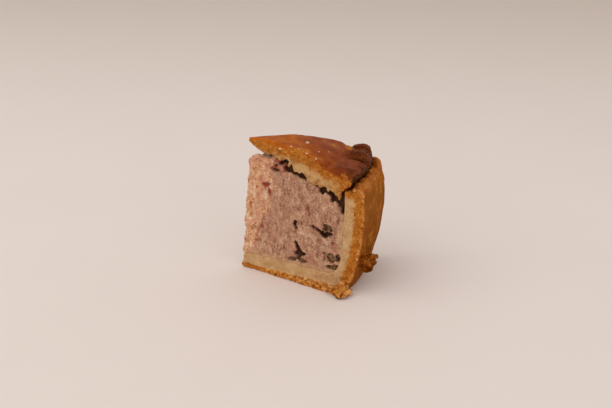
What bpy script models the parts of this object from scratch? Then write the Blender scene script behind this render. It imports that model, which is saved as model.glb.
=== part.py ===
"""A wedge of raised pork pie: crust case, domed lid with a crimped rim, and pressed pork filling.

The pie is turned about the Z axis, then two knife cuts take a little under an eighth of it.
The cuts cross short of the pie's own centre. Units are metres, +Z is up, and the base is at Z = 0.
"""
import bmesh
import bpy
import math
from mathutils import Matrix, Vector

# ---- driving dimensions -------------------------------------------------------------------
GAP = 0.0003                    # air between touching pieces

BELLY_RADIUS = 0.0599           # widest radius of the raised crust
BELLY_HEIGHT = 0.0345           # height of that widest place
FOOT_RADIUS = 0.0527            # radius of the crust at the base, before its edge is rounded
FOOT_ROUND = 0.0012             # rounding of the base's outer edge
SHOULDER_RADIUS = 0.0573        # centre of the rounded shoulder at the top of the wall
SHOULDER_HEIGHT = 0.0445
SHOULDER_ROUND = 0.0023
GROOVE_RADIUS = 0.0540          # bottom of the groove between the shoulder and the crimp
GROOVE_HEIGHT = 0.0454
LEDGE_RADIUS = 0.0512           # inner end of the ledge that carries the lid
LEDGE_HEIGHT = 0.0440
BASE_THICKNESS = 0.0073
WALL_INSIDE = (0.0452, 0.0480, 0.0499, 0.0509, 0.0514)     # radii of the inner face, from the base up
WALL_INSIDE_HEIGHTS = (BASE_THICKNESS, 0.0092, 0.0137, 0.0280, 0.0380)
MEAT_SHOULDER = 0.0035          # height of the round between the meat's top and its side

MEAT_TOP = (                    # radius, height of the pressed meat's top, centre to wall
    (0.0020, 0.0480), (0.0105, 0.0492), (0.0140, 0.0514), (0.0186, 0.0510), (0.0210, 0.0500),
    (0.0250, 0.0475), (0.0300, 0.0462), (0.0374, 0.0440), (0.0456, 0.0400), (0.0482, 0.0378),
)
MEAT_LEAN = 0.14                # how far the meat's worn tip leans back for each metre of height
MEAT_LEAN_START = 0.0010

LID_TOP = (                     # radius, height of the glazed top, centre to the dip before the rim
    (0.0020, 0.0592), (0.0091, 0.0589), (0.0212, 0.0585), (0.0302, 0.0573), (0.0374, 0.0553),
    (0.0415, 0.0537), (0.0440, 0.0522),
)
LID_UNDER = (                   # radius, height of the lid's underside, rim to centre
    (0.0492, 0.0416), (0.0465, 0.0426), (0.0420, 0.0441), (0.0374, 0.0454), (0.0329, 0.0485),
    (0.0285, 0.0503), (0.0258, 0.0522), (0.0203, 0.0527), (0.0153, 0.0536), (0.0125, 0.0551),
    (0.0095, 0.0571), (0.0020, 0.0576),
)
RIM_RADIUS = 0.0496             # centre of the crimped roll
RIM_HEIGHT = 0.0490
RIM_ROUND = 0.0049
RIM_FADE = 1.5                  # the crimping dies away this many roll radii from the roll's centre
CRIMPS = (                      # each lobe: azimuth about the wedge's tip, half width (degrees), lift
    (-14.0, 10.0, 0.0002), (7.5, 9.0, 0.0018), (26.0, 9.0, 0.0004),
)
PINCH_DEPTH = 0.0016            # how far the roll sinks between two lobes
LOBE_FULLNESS = 0.7             # under 1, a lobe is rounder than a cosine

TIP = Vector((0.0, -0.0060, 0.0))        # where the two knife cuts cross
HALF_ANGLE = math.radians(19.75)         # a little under an eighth of the pie
LID_TIP = Vector((0.0054, -0.0080, 0.0)) # the lid's own tip, broken back a little
LID_BACK_ANGLE = math.radians(23.3)

SPIN_FROM = math.radians(-112.0)
SPIN_TO = math.radians(40.0)
SPIN_STEP = math.radians(2.0)
MIDDLE_RADIUS = 0.0020          # the turned profiles start just off the axis, outside the wedge

DRIP_AZIMUTH = math.radians(-12.75)       # baked drip on the wall, about the wedge's tip
DRIP_HEIGHT = 0.0128
DRIP_SIZE = (0.0042, 0.0034, 0.0050)
DRIP_SUNK = 0.0016              # how far its centre lies inside the wall
LIP_THICKNESS = 0.0022          # ledge of bottom crust that the knife dragged out of the front cut
LIP_START = 0.0050              # its ends, as distances from the wedge's tip
LIP_END = 0.0495
LIP_REACH = 0.0042              # how far its outer end stands out
CRUMB_AZIMUTH = math.radians(-23.5)      # lump of crust at that ledge's outer end
CRUMB_REACH = 0.0502
CRUMB_HEIGHT = 0.0012
CRUMB_SIZE = (0.0044, 0.0042, 0.0036)


# ---- materials ----------------------------------------------------------------------------
def material(name, colour, roughness):
    mat = bpy.data.materials.new(name)
    mat.use_nodes = True
    shader = mat.node_tree.nodes["Principled BSDF"]
    shader.inputs["Base Color"].default_value = (*colour, 1.0)
    shader.inputs["Roughness"].default_value = roughness
    shader.inputs["Metallic"].default_value = 0.0
    return mat


# ---- outlines: lists of (radius, height), closed from the last point to the first ----------
def arc(centre, radius, start, end, points):
    """Points of an arc, angles in degrees from the outward direction."""
    angles = [math.radians(start + (end - start) * i / (points - 1)) for i in range(points)]
    return [(centre[0] + radius * math.cos(a), centre[1] + radius * math.sin(a)) for a in angles]


def wall_radius(height):
    """The raised wall bellies out as a parabola."""
    fall = (height - BELLY_HEIGHT) / BELLY_HEIGHT
    return BELLY_RADIUS - (BELLY_RADIUS - FOOT_RADIUS) * fall * fall


def case_outline():
    foot = arc((FOOT_RADIUS - FOOT_ROUND, FOOT_ROUND), FOOT_ROUND, -90, -10, 4)
    heights = [SHOULDER_HEIGHT * i / 10 for i in range(1, 10)]
    wall = [(wall_radius(h), h) for h in heights]
    shoulder = arc((SHOULDER_RADIUS, SHOULDER_HEIGHT), SHOULDER_ROUND, 5, 130, 6)
    ledge = [(GROOVE_RADIUS, GROOVE_HEIGHT), (LEDGE_RADIUS, LEDGE_HEIGHT)]
    inside = list(zip(WALL_INSIDE, WALL_INSIDE_HEIGHTS))[::-1]
    middle = [(MIDDLE_RADIUS, BASE_THICKNESS), (MIDDLE_RADIUS, 0.0)]
    return foot + wall + shoulder + ledge + inside + middle


def filling_outline():
    """The meat fills the case, one gap short of the base and the wall."""
    sides = [(r - GAP, h + GAP) for r, h in zip(WALL_INSIDE, WALL_INSIDE_HEIGHTS)][:4]
    crown = (WALL_INSIDE[3] - 2 * GAP, MEAT_TOP[-1][1] - MEAT_SHOULDER)
    return [(MIDDLE_RADIUS, BASE_THICKNESS + GAP)] + sides + [crown] + list(MEAT_TOP)[::-1]


def lid_outline():
    seat = [(LEDGE_RADIUS - 3 * GAP, LEDGE_HEIGHT), (GROOVE_RADIUS - GAP, GROOVE_HEIGHT + 1.5 * GAP)]
    roll = arc((RIM_RADIUS, RIM_HEIGHT), RIM_ROUND, -12, 140, 9)
    return seat + roll + list(LID_TOP)[::-1] + list(LID_UNDER)[::-1]


# ---- solids -------------------------------------------------------------------------------
def turned(outline):
    """Spin a closed outline about the pie's axis, past both knife cuts."""
    bm = bmesh.new()
    verts = [bm.verts.new((r, 0.0, h)) for r, h in outline]
    edges = [bm.edges.new((verts[i - 1], verts[i])) for i in range(len(verts))]
    bmesh.ops.rotate(bm, verts=verts, cent=(0, 0, 0), matrix=Matrix.Rotation(SPIN_FROM, 3, "Z"))
    steps = round((SPIN_TO - SPIN_FROM) / SPIN_STEP)
    swept = bmesh.ops.spin(bm, geom=verts + edges, cent=(0, 0, 0), axis=(0, 0, 1),
                           angle=SPIN_TO - SPIN_FROM, steps=steps, use_duplicate=False)
    last = [item for item in swept["geom_last"] if isinstance(item, bmesh.types.BMEdge)]
    for end in (edges, last):
        bmesh.ops.triangle_fill(bm, use_beauty=True, use_dissolve=False, edges=end)
    bmesh.ops.recalc_face_normals(bm, faces=bm.faces)
    return bm


def cut(bm, point, normal):
    """Remove what lies on the normal's side of a plane, and close the cut."""
    everything = bm.verts[:] + bm.edges[:] + bm.faces[:]
    made = bmesh.ops.bisect_plane(bm, geom=everything, plane_co=point, plane_no=normal,
                                  dist=1e-7, clear_outer=True)
    rim = [item for item in made["geom_cut"] if isinstance(item, bmesh.types.BMEdge)]
    bmesh.ops.triangle_fill(bm, use_beauty=True, use_dissolve=False, edges=rim)


def knife(angle, side):
    """The outward normal of a vertical cut that runs from the tip at an angle."""
    return Vector((-side * math.sin(angle), side * math.cos(angle), 0.0))


def finished(name, bm, mat):
    bmesh.ops.remove_doubles(bm, verts=bm.verts, dist=2e-6)
    bmesh.ops.dissolve_degenerate(bm, edges=bm.edges, dist=1e-6)
    bmesh.ops.recalc_face_normals(bm, faces=bm.faces)
    mesh = bpy.data.meshes.new(name)
    bm.to_mesh(mesh)
    bm.free()
    mesh.materials.append(mat)
    mesh.shade_smooth()
    mesh.set_sharp_from_angle(angle=math.radians(35))
    obj = bpy.data.objects.new(name, mesh)
    bpy.context.scene.collection.objects.link(obj)
    return obj


def fused(obj, lump_bm):
    """Fuse a lump onto a solid with an exact union."""
    mesh = bpy.data.meshes.new("lump")
    lump_bm.to_mesh(mesh)
    lump_bm.free()
    lump = bpy.data.objects.new("lump", mesh)
    lump.hide_render = True
    lump.display_type = "WIRE"
    bpy.context.scene.collection.objects.link(lump)
    union = obj.modifiers.new("fused lump", "BOOLEAN")
    union.operation = "UNION"
    union.solver = "EXACT"
    union.object = lump
    return lump


def lump_solid(place, size, turn):
    """A rounded lump, cut flat just above the floor where it would go below it."""
    bm = bmesh.new()
    bmesh.ops.create_icosphere(bm, subdivisions=2, radius=1.0)
    bmesh.ops.scale(bm, vec=size, verts=bm.verts)
    bmesh.ops.rotate(bm, verts=bm.verts, cent=(0, 0, 0), matrix=Matrix.Rotation(turn, 3, "Z"))
    bmesh.ops.translate(bm, verts=bm.verts, vec=place)
    if place.z < size[2]:
        cut(bm, Vector((0, 0, GAP)), Vector((0, 0, -1)))
    return bm


def lip_solid():
    """The ledge of crust along the foot of the front cut: a thin prism, widest at the wall."""
    along = Vector((math.cos(HALF_ANGLE), -math.sin(HALF_ANGLE), 0.0))
    outward = knife(-HALF_ANGLE, -1)
    corners = [along * LIP_START - outward * LIP_THICKNESS, along * LIP_END - outward * LIP_THICKNESS,
               along * LIP_END + outward * LIP_REACH, along * LIP_START - outward * GAP]
    bm = bmesh.new()
    face = bm.faces.new([bm.verts.new(TIP + corner) for corner in corners])
    raised = bmesh.ops.extrude_face_region(bm, geom=[face])
    top = [item for item in raised["geom"] if isinstance(item, bmesh.types.BMVert)]
    bmesh.ops.translate(bm, verts=top, vec=(0, 0, LIP_THICKNESS))
    bmesh.ops.recalc_face_normals(bm, faces=bm.faces)
    return bm


def polar(angle, reach, height):
    """A place given by azimuth and distance from the wedge's tip."""
    return TIP + Vector((reach * math.cos(angle), reach * math.sin(angle), height))


def crimp_lift(azimuth):
    """Rise of the crimped roll at an azimuth about the tip: lobes, with pinches between them."""
    lift = -PINCH_DEPTH
    for middle, half_width, height in CRIMPS:
        across = min(1.0, abs(azimuth - middle) / half_width)
        lobe = math.cos(across * math.pi / 2) ** LOBE_FULLNESS
        lift = max(lift, -PINCH_DEPTH + (height + PINCH_DEPTH) * lobe)
    return lift


def shape_crimp(bm):
    """Raise and pinch the rolled rim all the way round."""
    for v in bm.verts:
        radius = math.hypot(v.co.x, v.co.y)
        azimuth = math.degrees(math.atan2(v.co.y - TIP.y, v.co.x - TIP.x))
        inward = max(0.0, 1.0 - abs(radius - RIM_RADIUS) / (RIM_FADE * RIM_ROUND))
        raised = max(0.0, min(1.0, (v.co.z - GROOVE_HEIGHT) / RIM_ROUND))
        v.co.z += crimp_lift(azimuth) * inward * raised


def build_case(mat):
    bm = turned(case_outline())
    cut(bm, TIP, knife(-HALF_ANGLE, -1))
    cut(bm, TIP, knife(HALF_ANGLE, 1))
    case = finished("pastry_case", bm, mat)
    drip_reach = wall_radius(DRIP_HEIGHT) - DRIP_SUNK
    drip = lump_solid(polar(DRIP_AZIMUTH, drip_reach, DRIP_HEIGHT), DRIP_SIZE, DRIP_AZIMUTH)
    crumb = lump_solid(polar(CRUMB_AZIMUTH, CRUMB_REACH, CRUMB_HEIGHT), CRUMB_SIZE, CRUMB_AZIMUTH)
    return case, [fused(case, drip), fused(case, lip_solid()), fused(case, crumb)]


def build_lid(mat):
    bm = turned(lid_outline())
    shape_crimp(bm)
    cut(bm, TIP, knife(-HALF_ANGLE, -1))
    cut(bm, TIP, knife(HALF_ANGLE, 1))
    cut(bm, LID_TIP, knife(LID_BACK_ANGLE, 1))
    return finished("pastry_lid", bm, mat)


def build_filling(mat):
    bm = turned(filling_outline())
    cut(bm, TIP, knife(-HALF_ANGLE, -1))
    cut(bm, TIP, knife(HALF_ANGLE, 1))
    cut(bm, Vector((0, 0, MEAT_LEAN_START)), Vector((-1.0, 0.0, MEAT_LEAN)).normalized())
    return finished("pork_filling", bm, mat)


def centre_on_floor(pieces, guides):
    """Carry everything on one empty, so that the box's bottom centre is the origin."""
    carrier = bpy.data.objects.new("pie_wedge", None)
    bpy.context.scene.collection.objects.link(carrier)
    for obj in pieces + guides:
        obj.parent = carrier
    bpy.context.view_layer.update()
    graph = bpy.context.evaluated_depsgraph_get()
    corners = []
    for obj in pieces:
        corners += [v.co.copy() for v in obj.evaluated_get(graph).data.vertices]
    middle_x = (min(c.x for c in corners) + max(c.x for c in corners)) / 2
    middle_y = (min(c.y for c in corners) + max(c.y for c in corners)) / 2
    carrier.location = (-middle_x, -middle_y, 0.0)


def main():
    for obj in list(bpy.data.objects):
        bpy.data.objects.remove(obj)
    crust = material("baked crust", (0.30, 0.105, 0.024), 0.55)
    glazed = material("glazed lid", (0.33, 0.095, 0.022), 0.42)
    meat = material("pressed pork", (0.38, 0.19, 0.11), 0.50)
    case, guides = build_case(crust)
    centre_on_floor([case, build_lid(glazed), build_filling(meat)], guides)


main()
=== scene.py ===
# %% [markdown]
# # A wedge of raised pork pie
#
# A raised pork pie is a case of hot-water crust, filled with chopped pork, closed with a lid that is
# crimped to the case, glazed and baked. This wedge is a little under an eighth of one, cut by hand.
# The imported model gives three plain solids: the case, the lid and the filling. This lesson gives each of
# them the surface that a knife and an oven leave: torn and dragged meat, air holes with jelly in them,
# crumbly cut pastry that goes from cream to brown, and a smooth glazed top.

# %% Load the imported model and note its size
import math

import bmesh
import bpy
from mathutils import Matrix, Vector, noise
from mathutils.bvhtree import BVHTree


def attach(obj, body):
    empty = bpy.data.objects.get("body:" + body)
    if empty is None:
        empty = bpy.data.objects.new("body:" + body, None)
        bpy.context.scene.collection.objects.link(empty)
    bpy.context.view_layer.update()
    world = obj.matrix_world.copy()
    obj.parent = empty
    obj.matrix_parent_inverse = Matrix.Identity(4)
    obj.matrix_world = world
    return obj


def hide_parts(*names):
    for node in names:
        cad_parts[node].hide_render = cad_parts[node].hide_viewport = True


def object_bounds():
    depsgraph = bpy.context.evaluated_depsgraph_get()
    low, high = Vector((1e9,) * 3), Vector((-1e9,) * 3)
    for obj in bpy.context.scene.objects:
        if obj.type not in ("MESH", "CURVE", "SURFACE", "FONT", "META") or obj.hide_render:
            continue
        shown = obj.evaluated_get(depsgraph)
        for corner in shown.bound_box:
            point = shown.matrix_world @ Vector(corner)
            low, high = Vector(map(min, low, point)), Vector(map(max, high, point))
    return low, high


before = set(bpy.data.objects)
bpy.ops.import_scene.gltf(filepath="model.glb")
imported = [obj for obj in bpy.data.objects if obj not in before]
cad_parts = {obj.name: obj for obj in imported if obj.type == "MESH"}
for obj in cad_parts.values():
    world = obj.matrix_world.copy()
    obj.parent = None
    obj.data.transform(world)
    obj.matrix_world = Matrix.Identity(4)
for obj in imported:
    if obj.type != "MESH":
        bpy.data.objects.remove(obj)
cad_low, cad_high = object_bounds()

MM = 0.001
cad_size = [round((cad_high[i] - cad_low[i]) / MM, 1) for i in range(3)]
print("CAD nodes:", sorted(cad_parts), "size in mm:", cad_size)

# %% [markdown]
# ## Landmarks
#
# Everything on a wedge is easiest to place from its tip: how far out along the cut, and how high.
# The tip is the case's farthest point in -X. The two knife cuts leave it at equal angles to +X, and the
# pie's own centre lies a little to the side of it, because the cuts did not meet on the centre.

# %% Find the tip, the cuts and the pie's axis
HALF_ANGLE = math.radians(19.75)      # each cut's angle to +X, as in the model
AXIS_BESIDE_TIP = 6.0 * MM            # the pie's axis lies this far from the tip, along +Y

case_points = [v.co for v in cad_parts["pastry_case"].data.vertices]
tip = min(case_points, key=lambda point: point.x).copy()
tip.z = 0.0
axis = tip + Vector((0.0, AXIS_BESIDE_TIP, 0.0))

UP = Vector((0, 0, 1))
front_along = Vector((math.cos(HALF_ANGLE), -math.sin(HALF_ANGLE), 0.0))
front_out = Vector((-math.sin(HALF_ANGLE), -math.cos(HALF_ANGLE), 0.0))
back_along = Vector((math.cos(HALF_ANGLE), math.sin(HALF_ANGLE), 0.0))
back_out = Vector((-math.sin(HALF_ANGLE), math.cos(HALF_ANGLE), 0.0))


def on_front(reach, height, out=0.0):
    """A place on the front cut, in mm: distance from the tip, height, and how far it stands out."""
    return tip + (front_along * reach + front_out * out) * MM + Vector((0, 0, height * MM))


def on_back(reach, height):
    """A place on the back cut, in mm: distance from the tip and height."""
    return tip + back_along * reach * MM + Vector((0, 0, height * MM))


def polar(azimuth, reach, height):
    """A place in mm and degrees about the tip; azimuth 0 is the wedge's middle line."""
    angle = math.radians(azimuth)
    return tip + Vector((math.cos(angle) * reach, math.sin(angle) * reach, height)) * MM


def front_coords(point):
    """Distance along the front cut, height, and distance in front of it, in mm."""
    flat = point - tip
    return flat.dot(front_along) / MM, point.z / MM, flat.dot(front_out) / MM


def behind_back(point):
    """Distance in front of the back cut, in mm; negative inside the wedge."""
    return (point - tip).dot(back_out) / MM


def pie_radius(point):
    """Distance from the pie's axis, in mm."""
    return math.hypot(point.x - axis.x, point.y - axis.y) / MM


def outward(point):
    """Level direction from the pie's axis to a point."""
    return Vector((point.x - axis.x, point.y - axis.y, 0)).normalized()


def past_cuts(point):
    """How far a point stands out of the nearer cut, in mm; negative inside the wedge."""
    return max(front_coords(point)[2], behind_back(point))


def azimuth_of(point):
    """Angle about the tip, in degrees."""
    return math.degrees(math.atan2(point.y - tip.y, point.x - tip.x))


print("tip at", [round(c / MM, 2) for c in tip], "mm; wall at", round(max(map(pie_radius, case_points)), 1))

# %% [markdown]
# ## Tools for shaping food
#
# Food has no neat edges, so each piece is shaped the way a clay model is: start from the plain solid,
# cut holes with rough lumps, turn it into an even skin of small squares with a voxel remesh, and push
# each point along its normal by an amount that depends on where it is. The noise functions give the same
# numbers each run, because they read only the point's place.

# %% Copy a model solid and make rough lumps
FINE = 1.0
SPECK_POINTS = 200                    # a closed bit with fewer points than this is a speck


def closed_copy(node):
    """A model node's mesh as one closed bmesh; the node itself is left alone."""
    bm = bmesh.new()
    bm.from_mesh(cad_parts[node].data)
    bmesh.ops.remove_doubles(bm, verts=bm.verts, dist=1e-6)
    return bm


def wander(point, size, seed=0.0):
    """Smooth noise from about -1 to 1 that changes over a size in mm."""
    return noise.noise(point * (1.0 / (size * MM)) + Vector((seed, 2.3 * seed, 5.1 * seed)))


def rough(point, size, seed=0.0, octaves=3):
    """Noise with finer and finer detail, from about -1 to 1."""
    total, weight = 0.0, 1.0
    for step in range(octaves):
        total += weight * wander(point, size / 2.1 ** step, seed + step)
        weight *= 0.5
    return total


def cells(point, size, seed=0.0):
    """Distance to the nearest of many scattered seeds, 0 at a seed: the pattern of chopped grains."""
    return noise.voronoi(point * (1.0 / (size * MM)) + Vector((seed, seed, seed)))[0][0]


def smoothstep(low, high, value):
    t = max(0.0, min(1.0, (value - low) / (high - low)))
    return t * t * (3.0 - 2.0 * t)


def near(point, place, far, close):
    """1 within a close distance of a place, 0 beyond a far one, in mm."""
    return smoothstep(far, close, (point - place).length / MM)


def between(value, stops):
    """Straight-line reading of a short list of (place, amount) stops."""
    if value <= stops[0][0]:
        return stops[0][1]
    for (x0, y0), (x1, y1) in zip(stops, stops[1:]):
        if value <= x1:
            return y0 + (y1 - y0) * (value - x0) / (x1 - x0)
    return stops[-1][1]


def bell(distance, width):
    """1 at no distance, falling smoothly to nothing a few widths away."""
    return math.exp(-(distance / width) ** 2)


def lump(bm, place, size, turn=Matrix(), jag=0.25, grain=1.2, seed=0.0, finer=3):
    """Add a rough ellipsoid: half sizes in mm, turned by a matrix, with jagged bumps."""
    made = bmesh.ops.create_icosphere(bm, subdivisions=finer, radius=1.0)["verts"]
    for v in made:
        v.co *= 1.0 + jag * rough(v.co * MM * grain, 1.0, seed)
    bmesh.ops.scale(bm, vec=Vector(size) * MM, verts=made)
    bmesh.ops.rotate(bm, verts=made, cent=(0, 0, 0), matrix=turn)
    bmesh.ops.translate(bm, verts=made, vec=place)


FACE_FRONT = Matrix((front_along, -front_out, UP)).transposed()   # along, inward, up
FACE_BACK = Matrix((back_along, back_out, UP)).transposed()       # along, outward, up


def leaning(angle):
    """Turn for a lump on the front cut: its long way leans by an angle in the plane of the cut."""
    return FACE_FRONT @ Matrix.Rotation(math.radians(angle), 3, "Y")


def front_lumps(bm, rows, first_seed, swell=1.0, **grit):
    """Lumps on the front cut, one for each row of a table; a row may leave out how far it stands out."""
    for number, (reach, height, *out, wide, deep, tall, lean) in enumerate(rows):
        size = (wide * swell, deep, tall * swell)
        lump(bm, on_front(reach, height, *out), size, leaning(lean), seed=number + first_seed, **grit)


def tree_of(obj, faces):
    """Search tree of some of an object's faces."""
    return BVHTree.FromPolygons([v.co for v in obj.data.vertices], [tuple(f.vertices) for f in faces])


print("shaping tools ready; squares are", "fine")

# %% Carve, remesh and sculpt
def as_object(name, bm):
    mesh = bpy.data.meshes.new(name)
    bm.to_mesh(mesh)
    bm.free()
    obj = bpy.data.objects.new(name, mesh)
    bpy.context.scene.collection.objects.link(obj)
    return obj


def apply_modifiers(obj):
    """Keep the mesh that the modifiers give, and drop them."""
    graph = bpy.context.evaluated_depsgraph_get()
    shaped = bpy.data.meshes.new_from_object(obj.evaluated_get(graph))
    old = obj.data
    obj.modifiers.clear()
    obj.data = shaped
    bpy.data.meshes.remove(old)


def carved(obj, cutter_bm):
    """Take rough lumps out of a solid."""
    cutter = as_object("cutter", cutter_bm)
    cut = obj.modifiers.new("holes", "BOOLEAN")
    cut.operation = "DIFFERENCE"
    cut.solver = "EXACT"
    cut.use_self = True
    cut.object = cutter
    apply_modifiers(obj)
    bpy.data.objects.remove(cutter)


def remeshed(obj, size):
    """Even squares of a size in mm over everything that the mesh encloses."""
    even = obj.modifiers.new("even skin", "REMESH")
    even.mode = "VOXEL"
    even.voxel_size = size * FINE * MM
    apply_modifiers(obj)


def sculpted(obj, push):
    """Move each point by what push(point, normal) says, in mm."""
    moves = [push(v.co, v.normal) for v in obj.data.vertices]
    for v, move in zip(obj.data.vertices, moves):
        v.co += move * MM


def eased(obj, chosen, times):
    """Smooth the chosen points, to take the steps of the squares out of a surface that should be even."""
    bm = bmesh.new()
    bm.from_mesh(obj.data)
    points = [v for v in bm.verts if chosen(v.co, v.normal)]
    for _ in range(times):
        bmesh.ops.smooth_vert(bm, verts=points, factor=0.5, use_axis_x=True, use_axis_y=True, use_axis_z=True)
    bm.to_mesh(obj.data)
    bm.free()


def without_specks(obj):
    """Drop the tiny closed bits that a remesh can leave beside the solid."""
    bm = bmesh.new()
    bm.from_mesh(obj.data)
    seen = set()
    specks = []
    for start in bm.verts:
        if start in seen:
            continue
        seen.add(start)
        island = [start]
        for point in island:
            for edge in point.link_edges:
                other = edge.other_vert(point)
                if other not in seen:
                    seen.add(other)
                    island.append(other)
        if len(island) < SPECK_POINTS:
            specks += island
    bmesh.ops.delete(bm, geom=specks, context="VERTS")
    bm.to_mesh(obj.data)
    bm.free()


def kept_inside(obj):
    """No point leaves the model's box or goes below the surface that the wedge stands on."""
    for v in obj.data.vertices:
        for i in range(3):
            v.co[i] = max(cad_low[i], min(cad_high[i], v.co[i]))


def store(obj, marks):
    """Keep on every point the named amounts that marks(point, normal) gives."""
    rows = [marks(v.co, v.normal) for v in obj.data.vertices]
    for name in rows[0]:
        layer = obj.data.attributes.new(name, "FLOAT", "POINT")
        layer.data.foreach_set("value", [row[name] for row in rows])
    print("stored", ", ".join(rows[0]), "for", len(rows), "points")


def finished(obj, finish, node):
    """Shade smooth, give the finish, and tie the piece to the model."""
    kept_inside(obj)
    obj.data.shade_smooth()
    obj.data.materials.clear()
    obj.data.materials.append(finish)
    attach(obj, "root")
    if node:
        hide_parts(node)
    print(obj.name, "has", len(obj.data.polygons), "faces")


print("sculpting tools ready")

# %% [markdown]
# ## Tools for finishes
#
# A finish is a node tree. Writing its sums as Python expressions keeps it readable: a small class wraps
# a socket, and adding or multiplying two of them adds the Math node that does it.

# %% A class for sockets and one for finishes
class Amount:
    """A number or colour that varies over a surface."""

    def __init__(self, finish, socket):
        self.finish = finish
        self.socket = socket

    def sum_with(self, operation, *values):
        return self.finish.node("ShaderNodeMath", {"operation": operation}, dict(enumerate(values)))

    def __add__(self, other):
        return self.sum_with("ADD", self, other)

    def __sub__(self, other):
        return self.sum_with("SUBTRACT", self, other)

    def __rsub__(self, other):
        return self.sum_with("SUBTRACT", other, self)

    def __mul__(self, other):
        return self.sum_with("MULTIPLY", self, other)

    def __truediv__(self, other):
        return self.sum_with("DIVIDE", self, other)

    def most(self, other):
        return self.sum_with("MAXIMUM", self, other)

    def step(self, low, high):
        """0 below low, 1 above high, smooth between."""
        return self.finish.node("ShaderNodeMapRange", {"interpolation_type": "SMOOTHSTEP"},
                                {0: self, 1: low, 2: high, 3: 0.0, 4: 1.0})

    __radd__ = __add__


class Finish:
    """A material under construction."""

    def __init__(self, name):
        self.material = bpy.data.materials.new(name)
        self.material.use_nodes = True
        self.tree = self.material.node_tree
        self.shader = self.tree.nodes["Principled BSDF"]
        self.place = self.node("ShaderNodeTexCoord", {}, {}, "Object")

    def node(self, kind, settings, values, output=0):
        """Add a node: its settings first, then the values or links of its sockets."""
        made = self.tree.nodes.new(kind)
        for key, value in settings.items():
            if key == "stops":
                self.set_stops(made.color_ramp, value)
            else:
                setattr(made, key, value)
        for key, value in values.items():
            self.feed(made.inputs[key], value)
        return Amount(self, made.outputs[output])

    def feed(self, socket, value):
        if isinstance(value, Amount):
            self.tree.links.new(value.socket, socket)
        elif isinstance(value, tuple) and socket.type == "RGBA":
            socket.default_value = (*value, 1.0)
        else:
            socket.default_value = value

    @staticmethod
    def set_stops(ramp, stops):
        while len(ramp.elements) < len(stops):
            ramp.elements.new(1.0)
        for element, (place, colour) in zip(ramp.elements, stops):
            element.position = place
            element.color = (*colour, 1.0)

    def stretched(self, x, y, z):
        """The object's own coordinates, scaled for each way."""
        return self.node("ShaderNodeMapping", {}, {"Vector": self.place, "Scale": (x, y, z)})

    def noise(self, size, detail=3.0, roughness=0.55, place=None, distortion=0.0):
        """Cloudy noise from 0 to 1, with blotches of about a size in mm."""
        values = {"Vector": place or self.place, "Scale": 1.0 / (size * MM), "Detail": detail,
                  "Roughness": roughness, "Distortion": distortion}
        return self.node("ShaderNodeTexNoise", {}, values)

    def grains(self, size):
        values = {"Vector": self.place, "Scale": 1.0 / (size * MM)}
        return self.node("ShaderNodeTexVoronoi", {}, values, "Distance")

    def attribute(self, name):
        return self.node("ShaderNodeAttribute", {"attribute_name": name}, {}, "Fac")

    def ramp(self, value, stops):
        return self.node("ShaderNodeValToRGB", {"stops": stops}, {0: value}, "Color")

    def mix(self, share, first, second):
        return self.node("ShaderNodeMix", {"data_type": "RGBA"}, {0: share, 6: first, 7: second}, 2)

    def bump(self, height, depth):
        """Fine relief; depth is in mm for a height from 0 to 1."""
        values = {"Height": height, "Distance": depth * MM, "Strength": 1.0}
        return self.node("ShaderNodeBump", {}, values, "Normal")

    def finish(self, colour, roughness, normal=None, **constants):
        """Feed the shader; words with a capital are sockets that stay the same all over."""
        self.feed(self.shader.inputs["Base Color"], colour)
        self.feed(self.shader.inputs["Roughness"], roughness)
        if normal:
            self.feed(self.shader.inputs["Normal"], normal)
        for key, value in constants.items():
            self.shader.inputs[key.replace("_", " ")].default_value = value
        return self.material


print("finish tools ready")

# %% [markdown]
# ## Camera and light
#
# The wedge is seen from a little above, from the side of its front cut. A large soft light stands high
# on the left, a weaker one fills from the right, and the pale floor reaches past the view on all sides;
# the floor is painted darker far from the camera, as painted shade where the light falls off.

# %% Place the camera
CAMERA_FROM_TIP = Vector((90.2, -371.8, 189.4)) * MM
CAMERA_AZIMUTH = math.radians(99.45)
CAMERA_PITCH = math.radians(-22.85)
SENSOR_WIDTH = 36.0       # mm
FOCAL_LENGTH = 58.8       # mm

camera = bpy.data.objects.new("camera", bpy.data.cameras.new("camera"))
bpy.context.scene.collection.objects.link(camera)
camera.data.sensor_width = SENSOR_WIDTH
camera.data.lens = FOCAL_LENGTH
camera.data.clip_start = 0.01
camera.location = tip + CAMERA_FROM_TIP
look = Vector((math.cos(CAMERA_AZIMUTH) * math.cos(CAMERA_PITCH),
               math.sin(CAMERA_AZIMUTH) * math.cos(CAMERA_PITCH), math.sin(CAMERA_PITCH)))
camera.rotation_euler = look.to_track_quat("-Z", "Y").to_euler()
bpy.context.scene.camera = camera
print("camera stands", round((camera.location - tip).length, 3), "m from the tip")


# %% Hang the lights and lay the floor
def soft_light(name, place, width, power, colour):
    """A square lamp that faces the wedge's middle."""
    lamp = bpy.data.lights.new(name, "AREA")
    lamp.shape = "SQUARE"
    lamp.size = width
    lamp.energy = power
    lamp.color = colour
    obj = bpy.data.objects.new(name, lamp)
    bpy.context.scene.collection.objects.link(obj)
    obj.location = place
    target = Vector((0, 0, 0.03))
    obj.rotation_euler = (target - obj.location).to_track_quat("-Z", "Y").to_euler()


soft_light("key_light", Vector((-0.65, -0.6, 0.9)), 1.4, 5.2, (1.0, 0.97, 0.94))
soft_light("fill_light", Vector((0.9, -0.7, 0.7)), 1.0, 1.25, (1.0, 0.97, 0.95))

world = bpy.data.worlds.new("room")
world.use_nodes = True
background = world.node_tree.nodes["Background"].inputs
background["Color"].default_value = (1.0, 0.96, 0.93, 1.0)
background["Strength"].default_value = 0.72
bpy.context.scene.world = world
bpy.context.scene.view_settings.view_transform = "Standard"

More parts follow.
